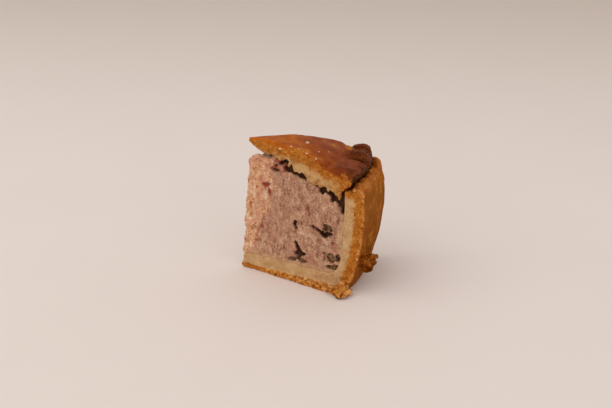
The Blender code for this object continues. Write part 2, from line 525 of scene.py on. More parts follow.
floor_bm = bmesh.new()
bmesh.ops.create_grid(floor_bm, x_segments=1, y_segments=1, size=3.0)
floor = as_object("floor", floor_bm)
paper = Finish("pale paper")
paper_tone = paper.noise(60.0, detail=2.0)
# painted shade: the floor is painted darker towards the far side, where the lamps' light falls off
far_painted_shade = paper.node("ShaderNodeSeparateXYZ", {}, {0: paper.place}, 1).step(0.05, 0.75)
near_tone = paper.mix(paper_tone, (0.8, 0.71, 0.66), (0.83, 0.74, 0.69))
floor.data.materials.append(paper.finish(paper.mix(far_painted_shade, near_tone, (0.61, 0.515, 0.45)), 0.75,
                                         Specular_IOR_Level=0.2))
print("lights and floor in place")

# %% [markdown]
# ## The filling
#
# Chopped pork sets into a firm, grey-pink block when it is baked. The knife leaves a nearly flat face
# with fine upright drag lines, and it opens small air holes, some with jelly in them. Towards the tip the
# meat tore instead of cutting, so the face leans back there and shows rough, pinker flesh. The holes are
# carved with rough lumps before the remesh, so that they have real depth and undercut edges.

# %% Carve the holes in the meat
HOLES = (     # reach, height, half sizes along, in depth, up (all mm), lean in degrees
    (27, 26.4, 0.8, 2.2, 0.75, 30), (26.4, 25, 0.75, 2.4, 1.1, 0), (27.1, 23.6, 0.75, 2.2, 0.8, -30),
    (26.8, 21.4, 0.5, 1.2, 0.9, 10), (27.3, 19.4, 0.5, 1.2, 0.8, -10), (27.2, 17, 0.8, 2.6, 1, -20),
    (27.8, 15.4, 0.95, 3, 1.4, -25), (28.6, 13.9, 1.1, 3.2, 1.4, -25), (29.2, 12.5, 2, 3.2, 1.2, 0),
    (30.9, 12.7, 1.2, 2.6, 0.8, -15), (27.2, 12.1, 1.3, 2.6, 1, -20), (28.2, 10.6, 1.1, 2, 0.9, 0),
    (25.4, 9.4, 2, 1.3, 1, -15), (30.2, 9.6, 2.2, 1.3, 0.85, -5), (35.3, 25.6, 1, 1.8, 0.7, 25),
    (37.2, 24.7, 1.8, 2.8, 0.9, 28), (39.4, 23.3, 2, 3.8, 1.1, 28), (42.2, 23.9, 1.9, 3, 0.9, -10),
    (40.6, 25.6, 1.4, 1.8, 0.9, 0), (43, 25.9, 0.9, 2.2, 0.9, 0), (41.2, 27.3, 1.7, 1.4, 0.8, 0),
    (46.2, 14.3, 1.1, 2.6, 1.9, 5), (43.4, 13.8, 1.9, 1.6, 1.8, 10), (40.3, 12.6, 0.75, 1.2, 1.1, 20),
    (40.1, 15.2, 0.8, 1.1, 0.6, 0), (41.4, 11.4, 0.8, 1, 0.6, 0), (43, 9.7, 2.2, 2.2, 0.9, 0),
    (45.7, 10, 1.5, 2, 1.3, 0), (20.9, 39.9, 0.45, 0.9, 1.1, -30), (22.9, 38.9, 1.7, 0.9, 0.45, 0),
    (25.2, 39.9, 0.45, 0.9, 0.9, 30), (33, 33.5, 0.55, 1.1, 1.5, -12), (33.6, 31.2, 0.55, 1, 1, 10),
    (38.6, 41.6, 1.3, 3.4, 0.9, 25), (43.6, 39.2, 0.9, 3.4, 1.2, 30), (47.3, 38, 1.3, 4, 1.9, 10),
    (48.2, 35.4, 0.8, 3, 1.9, 5), (23.2, 48, 1.6, 3.2, 1.1, 30), (26, 47.2, 1.7, 3.4, 0.9, 25),
    (17.6, 47, 2.3, 2, 0.75, 5), (29.4, 46.4, 1.6, 3, 0.7, 20), (20.9, 50.6, 0.7, 2.6, 1.6, 40),
    (18.2, 49, 1, 2, 0.6, -20), (14.6, 47.8, 0.9, 1.4, 0.7, -30), (37, 17.2, 0.45, 1, 0.8, 0),
    (31.9, 26.4, 0.45, 0.9, 0.5, 0), (22.3, 30.6, 0.4, 0.8, 0.7, 0), (34.6, 14, 0.45, 0.9, 0.6, 0),
    (46, 29.6, 0.5, 1, 0.8, 0), (48.6, 24.6, 0.45, 0.9, 0.8, 0), (20, 22.6, 0.4, 0.8, 0.5, 0),
    (36.4, 35.8, 0.45, 0.9, 0.5, 0), (30.6, 37.6, 0.4, 0.8, 0.6, 0), (44, 20.4, 0.6, 1.1, 0.8, 0),
    (47.2, 19, 0.5, 1, 0.5, 0),
)
SWELL = 1.2               # the remesh closes holes a little, so they and their jelly are made larger
BACK_HOLES = (    # the same on the back cut
    (15, 30, 0.9, 2, 1.6, 20), (16.4, 28, 1.2, 2.2, 0.9, -20), (27, 18, 0.7, 1.8, 1.4, 10),
    (28.4, 16.4, 1.3, 2.4, 1, -15), (38, 27, 1.5, 2.6, 1.1, 25), (39.8, 28.4, 0.9, 2, 1.5, -30),
    (33, 38, 1.8, 2.2, 0.6, -15), (44, 14, 1.4, 2, 1.2, 0), (21, 41, 0.6, 1.2, 0.9, 0),
    (24, 31, 0.45, 0.9, 0.7, 0), (33, 11.6, 0.5, 1, 0.5, 0), (12, 16, 0.5, 1, 0.8, 0),
)
UNDER_LID = (     # reach, height, out, half sizes, lean: meat that stands up into the space under the lid
    (16.9, 50.4, -1.5, 1.7, 1.6, 1.5, 0), (19.4, 50.3, -1.7, 1.9, 1.7, 1.5, 20),
    (21.8, 49.2, -1.9, 1.5, 1.6, 1.6, 35), (18.4, 48.4, -0.9, 2, 0.9, 1, 0),
    (23.6, 47.6, -1.6, 1.3, 1.3, 1, 30), (12.2, 49.6, -1, 1.3, 1, 1.1, 0),
    (9.6, 48.4, -1.4, 1.2, 1.2, 1.3, 0), (26.6, 46.4, -1.9, 1.2, 1.2, 0.9, 20),
)
MEAT_OVERLAP = 0.75       # mm: the meat reaches this far into the crust, so that no gap shows
MEAT_FOOT = 8.5           # mm: below this height the meat rests on the bottom crust
MEAT_SIDE = 44.5          # mm from the axis: beyond this the meat leans on the wall
TIP_LEAN = 1.7            # mm: how far the tip comes forward at its top


def filled_out(bm):
    """Swell the meat's hidden side and foot until they meet the crust, and its torn tip towards the top."""
    for v in bm.verts:
        if v.co.z < MEAT_FOOT * MM:
            v.co.z -= MEAT_OVERLAP * MM
        if pie_radius(v.co) > MEAT_SIDE and v.co.z < 36.0 * MM:
            v.co += outward(v.co) * MEAT_OVERLAP * MM
        if (v.co.x - tip.x) < 13.0 * MM:
            v.co.x -= TIP_LEAN * smoothstep(0.0, 44.0, v.co.z / MM) * MM
    return bm


filling_bm = filled_out(closed_copy("pork_filling"))
front_lumps(filling_bm, UNDER_LID, 20, jag=0.35, grain=1.5)
filling = as_object("pressed_pork", filling_bm)
remeshed(filling, 0.42)
holes = bmesh.new()
front_lumps(holes, HOLES, 0, SWELL, jag=0.35, grain=1.7, finer=2)
for number, (reach, height, wide, deep, tall, lean) in enumerate(BACK_HOLES):
    turn = FACE_BACK @ Matrix.Rotation(math.radians(lean), 3, "Y")
    lump(holes, on_back(reach, height), (wide, deep, tall), turn, jag=0.4, grain=1.7, seed=number + 120,
         finer=2)
carved(filling, holes)
print("carved", len(HOLES) + len(BACK_HOLES), "holes; faces now", len(filling.data.polygons))

# %% Tear the tip, drag the knife lines and raise the hidden top to the lid
TORN_EDGE = (     # height, how far the torn strip reaches from the tip
    (3, 5), (7.5, 6.6), (11, 8), (20, 11.6), (27.5, 13.4), (36.5, 16.6), (46, 17), (52, 19),
)
TORN_REACH = 24.0         # mm: nothing is torn farther than this from the tip
TORN_LEAN = 0.17          # how fast the torn strip leans back, in mm for each mm
lid_tree = BVHTree.FromBMesh(closed_copy("pastry_lid"))


def torn_share(point):
    """1 on the torn strip at the tip, 0 on the clean cut."""
    reach, height, _ = front_coords(point)
    edge = between(height, TORN_EDGE) + 2.0 * rough(point, 5.0, 3.0)
    return smoothstep(1.0, -1.8, reach - edge)


def meat_push(point, normal):
    reach, height, out = front_coords(point)
    back = behind_back(point)
    clean = max(smoothstep(-0.35, -0.05, out), smoothstep(-0.35, -0.05, back))
    torn = torn_share(point) * smoothstep(-7.0, 0.0, out) if reach < TORN_REACH else 0.0
    move = Vector((0, 0, 0))
    if torn > 0.0:
        edge = between(height, TORN_EDGE)
        depth = TORN_LEAN * max(0.0, edge - reach)
        move -= front_out * torn * depth * smoothstep(-3.0, 0.0, out)
        move += normal * torn * (1.0 * rough(point, 4.2, 1.0) + 0.65 * rough(point, 1.7, 2.0))
    drag_place = Vector((reach / 0.6, height / 7.0, 0.0)) * MM
    drag = wander(drag_place, 1.0, 4.0)
    chop = cells(point, 2.3, 6.0)
    fleck = smoothstep(0.3, 0.65, wander(point, 1.4, 8.0))
    relief = 0.09 * drag - 0.2 * smoothstep(0.45, 0.9, chop) - 0.32 * fleck + 0.14 * rough(point, 4.0, 9.0)
    move += normal * clean * (1.0 - torn) * relief
    if clean < 0.5:
        move += normal * (0.35 * rough(point, 3.0, 5.0) + 0.12 * wander(point, 0.9, 7.0)) * (1.0 - torn)
    inside = min(-out, -back)
    if normal.z > 0.4 and inside > 1.5 and reach > 21.0:
        hit = lid_tree.ray_cast(point, UP)
        if hit[0] is not None and hit[3] < 8.0 * MM:
            move += UP * smoothstep(1.8, 5.0, inside) * smoothstep(20.0, 25.0, reach) * (hit[3] / MM + 0.2)
    return move


remeshed(filling, 0.36)
sculpted(filling, meat_push)
remeshed(filling, 0.33)
without_specks(filling)
print("filling sculpted:", len(filling.data.polygons), "faces")

# %% [markdown]
# ## The meat's finish
#
# Cooked pork is a grey-pink mince with paler fat and darker lean in pieces of a millimetre or two. The
# knife smears it upright. The torn strip is more orange, with a dark red scrap and pale fat in it. The
# holes are brown, and painted shade darkens them with depth. Places are measured on the shaped mesh and
# stored as attributes; the colours within them come from noise.

# %% Measure where the meat is torn, deep, red or fat
SCRAPS = {        # reach, height, half sizes along and up in mm, strength
    "lean": (
        (13.2, 39.9, 2.2, 1.4, 1), (15.2, 37.4, 0.8, 2.2, 0.95), (33.1, 32.8, 0.7, 2.4, 0.6),
        (19.2, 51.2, 3, 1.4, 0.85), (17.4, 47.8, 2.8, 1.2, 0.8), (22.6, 49.4, 1.8, 2, 0.8),
        (46, 29.4, 1, 2, 0.5), (44.2, 20.4, 1.6, 1.2, 0.5), (34.8, 12.6, 2.2, 2.4, 0.22),
        (10.7, 21.2, 1.1, 1.5, 0.75), (8.8, 15.6, 0.7, 2.2, 0.5), (12.2, 26.4, 0.6, 1.8, 0.45),
        (38.6, 20.2, 1.6, 1, 0.3), (31.4, 10.8, 1.4, 1.4, 0.3), (43, 30.6, 0.9, 1.2, 0.35)),
    "fat": (
        (13, 36.2, 1.5, 1.9, 0.8), (9.6, 30.2, 1.6, 1.4, 0.5), (32, 21.9, 3.8, 0.7, 0.6),
        (31.8, 25, 2.6, 0.6, 0.45), (36.6, 31.2, 1.2, 1.6, 0.35), (47.4, 17.4, 0.8, 2, 0.35),
        (8.2, 24, 1.5, 1, 0.5), (41, 20.8, 1.7, 1, 0.45), (12, 33, 0.9, 1.6, 0.5),
        (26.4, 18.2, 0.9, 0.9, 0.4), (41, 17.6, 2.2, 0.7, 0.35), (13, 44, 1.6, 1.6, 0.35)),
}


def scrap_share(point, kind):
    """How much a place belongs to the scraps of lean or of fat."""
    reach, height, out = front_coords(point)
    if out < -3.5:
        return 0.0
    share = 0.0
    for along, up, wide, tall, strength in SCRAPS[kind]:
        if abs(reach - along) < 2 * wide and abs(height - up) < 2 * tall:
            far = math.hypot((reach - along) / wide, (height - up) / tall)
            share = max(share, strength * smoothstep(1.45, 0.4, far + 0.8 * rough(point, 1.5, 11.0)))
    return share


def deepness(point):
    """0 on the cuts, 1 deep in a hole, where the finish paints shade; the torn strip lies back without being
    deep.
    """
    reach, height, out = front_coords(point)
    lean_back = torn_share(point) * (1.2 + TORN_LEAN * max(0.0, between(height, TORN_EDGE) - reach))
    behind = min(-out - lean_back, -behind_back(point))
    return smoothstep(0.25, 1.8, behind)


crust_walls = BVHTree.FromBMesh(closed_copy("pastry_case"))


def meat_marks(point, normal):
    """How far a point of the meat is beside the crust, torn, deep, lean or fat, each from 0 to 1."""
    from_crust = crust_walls.find_nearest(point)[3] / MM + 1.3 * rough(point, 3.0, 52.0)
    return {
        "by_crust": smoothstep(2.6, 0.2, from_crust),
        "torn": torn_share(point) if front_coords(point)[0] < TORN_REACH else 0.0,
        "deep": deepness(point),
        "lean": scrap_share(point, "lean"),
        "fat": scrap_share(point, "fat"),
    }


store(filling, meat_marks)

# %% Mix the meat's colours
meat = Finish("cooked pork")
smeared = meat.stretched(1.0, 1.0, 0.62)
mince = meat.noise(2.2, detail=4.0, roughness=0.65, place=smeared)
speck = meat.noise(0.75, detail=3.0, roughness=0.6)
streak = meat.noise(0.6, detail=2.0, place=meat.stretched(1.0, 1.0, 0.14))
cloud = meat.noise(8.0, detail=2.0)
chop = meat.grains(2.1)
torn = meat.attribute("torn")
deep = meat.attribute("deep")
lean = meat.attribute("lean")
fat = meat.attribute("fat")

flesh = meat.ramp(mince * 0.48 + speck * 0.38 + streak * 0.14, (
    (0.39, (0.2, 0.08, 0.045)), (0.46, (0.36, 0.175, 0.105)),
    (0.53, (0.49, 0.272, 0.165)), (0.62, (0.66, 0.44, 0.28))))
flesh = meat.mix(cloud.step(0.45, 0.65) * 0.35, flesh, (0.44, 0.19, 0.125))
flesh = meat.mix(meat.noise(1.5, detail=2.0).step(0.6, 0.7) * 0.45, flesh, (0.62, 0.41, 0.26))
dark_bits = meat.noise(1.9, detail=3.0, distortion=1.0).step(0.6, 0.7)
flesh = meat.mix(dark_bits * 0.45, flesh, (0.33, 0.095, 0.06))
torn_flesh = meat.ramp(mince * 0.5 + speck * 0.5, (
    (0.38, (0.32, 0.095, 0.038)), (0.45, (0.57, 0.26, 0.13)),
    (0.52, (0.68, 0.39, 0.21)), (0.61, (0.84, 0.64, 0.43))))
torn_flesh = meat.mix(meat.noise(3.4, detail=3.0).step(0.47, 0.6) * 0.6, torn_flesh, (0.6, 0.255, 0.165))
flesh = meat.mix(torn * 0.9, flesh, torn_flesh)
flesh = meat.mix(fat * 0.8, flesh, (0.66, 0.47, 0.31))
flesh = meat.mix(meat.attribute("by_crust") * 0.55, flesh, (0.54, 0.325, 0.165))
flesh = meat.mix(lean * 0.95, flesh, (0.235, 0.022, 0.012))
# painted shade: the meat turns near black with depth in a hole, where shade falls
flesh = meat.mix(deep * 0.96, flesh, (0.055, 0.011, 0.002))

fine = meat.noise(0.45, detail=3.0, place=meat.stretched(1.0, 1.0, 0.5))
relief = mince * 0.5 + fine * 0.35 + chop * 0.25 + streak * 0.2
meat_finish = meat.finish(flesh, 0.66 - speck * 0.2 - deep * 0.15, meat.bump(relief, 0.4),
                          Specular_IOR_Level=0.15, Subsurface_Weight=0.06, Subsurface_Scale=0.0015)
finished(filling, meat_finish, "pork_filling")

# %% [markdown]
# ## Jelly in the holes
#
# Stock is poured into the pie after baking and sets as a grey-brown jelly. It shows in the larger holes
# as small wet lumps, so each is a rounded lump sunk in its hole.

# %% Set the jelly
JELLY = (         # reach, height, out, half sizes along, in depth, up (all mm), lean
    (41.2, 27.2, -0.9, 1.8, 0.7, 1, 0), (42.6, 25.8, -1.4, 1.2, 0.8, 0.9, 0),
    (46.2, 14.2, -1.9, 1.1, 0.8, 1.7, 0), (43.6, 13.8, -0.8, 1.7, 0.6, 1.6, 0),
    (44.3, 11.6, -0.8, 1.2, 0.6, 1.4, 0), (43, 9.6, -1.3, 1.8, 0.8, 0.9, 0),
    (45.5, 10, -1.1, 1.3, 0.8, 1, 0), (30, 9.5, -0.8, 2.2, 0.6, 0.7, 0),
    (26.4, 9.5, -0.9, 2.4, 0.6, 0.7, 0), (13.8, 44.6, -1.6, 1.8, 0.8, 1.4, 0),
)
jelly_bm = bmesh.new()
front_lumps(jelly_bm, JELLY, 40, SWELL, jag=0.55, grain=1.9)
jelly = as_object("set_jelly", jelly_bm)
remeshed(jelly, 0.22)

set_stock = Finish("set stock")
murk = set_stock.noise(1.2, detail=3.0)
jelly_colour = set_stock.ramp(murk, ((0.4, (0.045, 0.016, 0.005)), (0.5, (0.115, 0.056, 0.02)),
                                     (0.62, (0.23, 0.13, 0.06))))
jelly_finish = set_stock.finish(jelly_colour, 0.35 + murk * 0.15, set_stock.bump(murk, 0.2),
                                Specular_IOR_Level=0.12)
finished(jelly, jelly_finish, None)

# %% [markdown]
# ## The crust case
#
# Hot-water crust is stiff and short: where it is cut it is smooth and cream next to the meat, and turns
# through gold to brown towards the baked skin. The knife drags the outer skin into a ragged ridge, and at
# the foot it has pulled a crumbly ledge out of the bottom crust. A drip of stock has baked on the wall.

# %% Shape the case
WALL_TOP = 43.0           # mm: above this the wall turns in to the shoulder
SEAM_RADIUS = 55.0        # rough dough fills the seam between the shoulder and the crimp
SEAM_HEIGHT = 45.6
DRIP = polar(-12.75, 57.6, 12.6)
CRUMB = polar(-23.5, 50.2, 1.6)
CLOTS = (         # azimuth, reach, height, half sizes: bits that stick to the drip and to the foot's lump
    (-14.4, 58.6, 15.8, 1.9, 1.5, 1.8), (-11.4, 59.2, 14.6, 1.6, 1.5, 2.1),
    (-13.6, 58.6, 10.8, 2, 1.7, 2), (-11.2, 58.8, 11.6, 1.7, 1.6, 1.9),
    (-12.4, 57.2, 8.6, 1.6, 1.5, 1.4), (-25.4, 52, 2.2, 1.8, 1.8, 1.8),
    (-21.8, 52.6, 2.4, 1.7, 2, 1.9), (-25.8, 48.6, 1.9, 1.8, 1.5, 1.5),
    (-23.4, 50.8, 4.2, 1.7, 1.5, 1.1), (-24.6, 45.2, 2, 1.9, 1.3, 1.3),
)
LEAN_FROM = 34.0          # mm: the far shoulder leans in between these two heights
LEAN_TO = 47.0
LEAN_IN = 1.5


def on_a_cut(centre, normal):
    """Whether a face of the plain case lies in one of the two knife cuts."""
    front = abs(front_coords(centre)[2]) < 0.05 and normal.dot(front_out) > 0.99
    return front or (abs(behind_back(centre)) < 0.05 and normal.dot(back_out) > 0.99)


def case_skin(centre, normal):
    """Whether a face of the plain case was baked: its wall, shoulder or base."""
    outside = normal.dot(outward(centre)) > 0.2 and pie_radius(centre) > 50.0
    shoulder = normal.z > 0.2 and pie_radius(centre) > 54.0
    return (outside or shoulder or normal.z < -0.9) and not on_a_cut(centre, normal)


def skin_tree():
    """Search tree of the case's baked faces, without the cuts."""
    bm = closed_copy("pastry_case")
    cuts = [f for f in bm.faces if not case_skin(f.calc_center_median(), f.normal)]
    bmesh.ops.delete(bm, geom=cuts, context="FACES")
    tree = BVHTree.FromBMesh(bm)
    bm.free()
    return tree


case_tree = skin_tree()


def case_depth(point):
    """Depth below the baked skin in mm; the thin bottom crust browns through sooner than the wall."""
    depth = case_tree.find_nearest(point)[3] / MM
    in_base = smoothstep(9.0, 4.0, point.z / MM)
    return depth * (1.0 + 0.9 * in_base * smoothstep(52.0, 46.0, pie_radius(point)))


def case_push(point, normal):
    reach, height, out = front_coords(point)
    back = behind_back(point)
    radius = pie_radius(point)
    move = Vector((0, 0, 0))
    cut = max(smoothstep(0.5, 0.15, abs(out)), smoothstep(0.5, 0.15, abs(back)))
    skin = case_tree.find_nearest(point)[3] / MM
    outer = smoothstep(1.6, 0.3, skin) * smoothstep(0.3, 1.2, height)
    proud = smoothstep(0.25, 0.7, out)
    near_drip = near(point, DRIP, 6.5, 4.6)
    near_crumb = near(point, CRUMB, 6.5, 4.8)
    lively = max(proud, near_crumb, 0.8 * near_drip)
    if outer > 0.0 and cut < 0.5:
        swell = 0.35 * rough(point, 11.0, 21.0) + 0.09 * rough(point, 2.6, 22.0) - 0.25
        pock = 0.25 * smoothstep(0.42, 0.66, wander(point, 1.9, 23.0))
        move += normal * (swell - pock) * outer
    azimuth = azimuth_of(point)
    if height > LEAN_FROM and radius > 55.0:
        share = smoothstep(-8.0, 6.0, azimuth)
        move -= outward(point) * LEAN_IN * smoothstep(LEAN_FROM, LEAN_TO, height) * share
    if height > WALL_TOP and radius > 52.0:
        move += normal * 0.55 * rough(point, 3.4, 24.0)
        move -= UP * (1.5 * smoothstep(9.0, 19.0, azimuth) + 0.8 * smoothstep(-14.0, -19.0, azimuth))
    if cut > 0.0:
        crumbly = smoothstep(4.2, 2.0, skin)
        drag = wander(Vector((reach / 0.5, height / 8.0, 0.0)) * MM, 1.0, 25.0)
        crumb = 0.3 * rough(point, 1.8, 26.0) + 0.1 * rough(point, 0.8, 27.0)
        move += normal * cut * (0.05 * drag + crumbly * crumb)
        ridge = smoothstep(1.5, 0.5, skin) * smoothstep(2.0, 5.0, height)
        move += normal * cut * ridge * (0.45 + 0.4 * rough(point, 2.2, 28.0))
    if reach < 6.0:
        move.x += 1.6 * smoothstep(1.0, 7.0, height) * smoothstep(6.0, 0.0, reach)
    if reach < 9.0:
        move += normal * 0.3 * rough(point, 2.2, 46.0) * smoothstep(9.0, 5.0, reach)
    if lively > 0.0:
        move += normal * lively * (0.55 * rough(point, 2.4, 29.0) + 0.35 * rough(point, 1.1, 30.0))
    if near_drip > 0.0 or near_crumb > 0.0:
        knobbly = 1.1 - 2.6 * cells(point, 3.4, 38.0)
        move += normal * max(near_drip, near_crumb) * (knobbly - 0.5)
    if height < 0.25:
        move.z = max(move.z, 0.0) * 0.1
    return move


def plain_wall(point, normal):
    """Whether a point is on the bare wall, clear of the cuts, the drip and the lump."""
    clear = min((point - DRIP).length, (point - CRUMB).length) > 6.0 * MM
    return pie_radius(point) > 52.5 and past_cuts(point) < -0.8 and clear


def case_marks(point, normal):
    """What the crust's finish reads: depth in mm, the rest from 0 to 1."""
    radius = pie_radius(point)
    height = point.z / MM
    out = front_coords(point)[2]
    # painted shade: the inner wall behind the meat is marked here for a near black colour
    inside = smoothstep(-0.5, -2.5, past_cuts(point)) * smoothstep(52.4, 51.6, radius)
    # painted shade: a mask for the groove under the crimped roll, where shade falls
    shade_under_roll = smoothstep(56.6, 54.8, radius + 1.2 * rough(point, 2.2, 53.0))
    return {
        "depth": case_depth(point),
        "drip": near(point, DRIP, 6.2, 4.6),
        "edge": smoothstep(-1.3, 0.1, out + 0.8 * rough(point, 2.4, 43.0)),
        "hidden": inside * smoothstep(8.0, 9.0, height),
        "groove": shade_under_roll * smoothstep(43.5, 44.5, height) * smoothstep(50.0, 51.5, radius),
        "shoulder": smoothstep(42.5, 45.5, height) * smoothstep(54.5, 55.8, radius),
        "grit": max(smoothstep(0.1, 0.6, out), near(point, CRUMB, 5.5, 4.5)),
    }


case_bm = closed_copy("pastry_case")
for number, (azimuth, reach, height, across, around, tall) in enumerate(CLOTS):
    lump(case_bm, polar(azimuth, reach, height), (across, around, tall), jag=0.4, grain=1.6,
         seed=number + 100)
for number, azimuth in enumerate(range(-18, 16, 2)):
    reach = SEAM_RADIUS + AXIS_BESIDE_TIP / MM * math.sin(math.radians(azimuth))
    size = 1.7 + 0.3 * math.sin(2.3 * number)
    lump(case_bm, polar(azimuth, reach, SEAM_HEIGHT), (size, 1.7, size), jag=0.3, grain=1.5,
         seed=number + 140)
case = as_object("crust_case", case_bm)
remeshed(case, 0.4)
sculpted(case, case_push)
remeshed(case, 0.36)
without_specks(case)
eased(case, plain_wall, 4)
store(case, case_marks)

# %% [markdown]
# ## The crust's finish
#
# One recipe serves the case and the lid: brown skin outside, gold under it, cream inside, by the depth
# below the skin. The depth is blurred with noise, because the colour never changes along a clean line.

# %% Mix the crust's colours
def crust_colour(crust, depth, skin_stops, skin_tone, bared, thick):
    """Skin, gold and cream by depth; bared says how far the skin is broken, thick how deep the gold goes."""
    mottle = crust.noise(3.2, detail=5.0, roughness=0.62, place=crust.stretched(0.8, 0.8, 1.0))
    patch = crust.noise(11.0, detail=3.0)
    fleck = crust.noise(0.7, detail=3.0, roughness=0.7)
    skin = crust.ramp(mottle * 0.5 + patch * 0.38 + fleck * 0.12 + skin_tone, skin_stops)
    uneven = depth + (mottle - 0.5) * 3.0 + (fleck - 0.5) * 1.2 + (patch - 0.5) * 2.5 * thick
    gold = crust.ramp(fleck * 0.6 + mottle * 0.4, (
        (0.34, (0.24, 0.058, 0.006)), (0.5, (0.43, 0.138, 0.016)), (0.64, (0.63, 0.27, 0.048))))
    cream = crust.ramp(fleck * 0.5 + mottle * 0.5, (
        (0.34, (0.41, 0.215, 0.088)), (0.5, (0.55, 0.325, 0.152)), (0.66, (0.68, 0.455, 0.245))))
    inner = crust.mix(uneven.step(3.4, 5.2 + thick), gold, cream)
    pits = crust.noise(1.3, detail=3.0, roughness=0.7).step(0.52, 0.6)
    inner = crust.mix(pits * (0.12 + 0.26 * thick), inner, (0.3, 0.1, 0.018))
    return crust.mix(uneven.step(0.35, 1.3).most(bared), skin, inner), fleck, mottle


crust = Finish("baked crust")
depth = crust.attribute("depth")
drip = crust.attribute("drip")
grit = crust.attribute("grit")
height = crust.node("ShaderNodeSeparateXYZ", {}, {0: crust.place}, 2) / MM
skin_stops = (
    (0.3, (0.2, 0.052, 0.01)), (0.44, (0.26, 0.08, 0.014)),
    (0.57, (0.33, 0.112, 0.02)), (0.72, (0.42, 0.155, 0.03)))
paler_up = (height - 26.0) * 0.0022
broken = crust.attribute("edge") * 0.9
colour, fleck, mottle = crust_colour(crust, depth, skin_stops, paler_up, broken, 0.0)
toasted = crust.ramp(fleck * 0.5 + mottle * 0.5, (
    (0.38, (0.2, 0.04, 0.005)), (0.48, (0.52, 0.165, 0.032)), (0.6, (0.76, 0.36, 0.11))))
shallow = 1.0 - depth.step(0.6, 1.8)
colour = crust.mix(crust.attribute("edge") * shallow * 0.7, colour, toasted)
colour = crust.mix(crust.attribute("shoulder") * 0.75, colour, crust.mix(0.55, toasted, (0.26, 0.055, 0.006)))
# painted shade: the groove under the roll is painted dark
colour = crust.mix(crust.attribute("groove") * 0.8, colour, (0.11, 0.017, 0.002))
caramel = crust.ramp(fleck * 0.5 + mottle * 0.5, ((0.4, (0.045, 0.007, 0.001)), (0.51, (0.19, 0.042, 0.004)),
                                                  (0.62, (0.46, 0.16, 0.02))))
colour = crust.mix(drip * 0.85, colour, caramel)
gritty = crust.ramp(crust.noise(1.5, detail=4.0, roughness=0.7), (
    (0.37, (0.11, 0.022, 0.003)), (0.45, (0.38, 0.115, 0.013)), (0.54, (0.6, 0.235, 0.042)),
    (0.64, (0.8, 0.49, 0.2))))
colour = crust.mix(grit * 0.8, colour, gritty)
# painted shade: the inner wall hidden behind the meat is painted near black, as shade in the gaps between
# crust and meat
colour = crust.mix(crust.attribute("hidden") * 0.97, colour, (0.05, 0.012, 0.003))
crust_relief = mottle * 0.5 + fleck * 0.3 + crust.noise(0.35, detail=2.0) * 0.2
crust_finish = crust.finish(colour, 0.7 - mottle * 0.2 - drip * 0.3, crust.bump(crust_relief, 0.45),
                            Specular_IOR_Level=0.0)
finished(case, crust_finish, "pastry_case")

# %% [markdown]
# ## The lid
#
# The lid is a thick sheet of the same dough, domed by the oven and pressed to the case in big crimps.
# One crimp at the front has a flattened, dark top and a steep side that is painted dark as shade, with
# dark specks of its own; behind it stands a round, wrinkled knob. Glaze makes the top smooth and red-brown.
# Under it, the cut is crumbly and flakes hang down.

# %% Shape the lid
ROLL_RADIUS = 49.6        # mm: the crimped roll's centre line, as in the model
ROLL_HEIGHT = 49.0
FRONT_CRIMP = -1.0        # degrees about the tip: the crimp at the front cut ends here
KNOB = polar(7.0, 50.4, 50.6)
PINCH = polar(13.0, 45.6, 51.0)
CRIMP_TOP = 52.4          # mm: the tops of the front crimp, the knob, the rim beside it and the far rim
KNOB_TOP = 53.5
SADDLE_TOP = 51.0
FAR_RIM_TOP = 53.2
SAG_REACH = 33.8          # mm along the cut: the lid's underside sags most here
SAG = 1.7
FLAKES = (        # reach, height, out, half sizes along, in depth, up, lean
    (46.6, 41.2, -0.3, 1, 0.7, 1.8, -15), (45.2, 42.6, -0.3, 0.8, 0.6, 1.1, 25),
    (24.4, 50.6, -0.3, 0.7, 0.5, 1.5, 25), (26.6, 49.8, -0.3, 0.8, 0.5, 1.5, -20),
    (28.6, 49, -0.4, 1.1, 0.6, 0.9, 20), (33, 46.8, -0.3, 1.1, 0.6, 0.8, 20),
    (38.4, 44, -0.4, 1.3, 0.6, 0.9, 15), (14.4, 53, -0.5, 1, 0.6, 0.7, 15),
    (41.8, 43, -0.3, 0.9, 0.6, 1.2, 20), (20.6, 52, -0.4, 1.4, 0.7, 0.7, 5),
)
lid_bm = closed_copy("pastry_lid")
lump(lid_bm, KNOB, (4.5, 4.3, 4.1), jag=0.1, seed=60)
lump(lid_bm, PINCH, (2.6, 3.2, 2.2), jag=0.15, seed=61)
front_lumps(lid_bm, FLAKES, 70, jag=0.5, grain=1.6, finer=2)


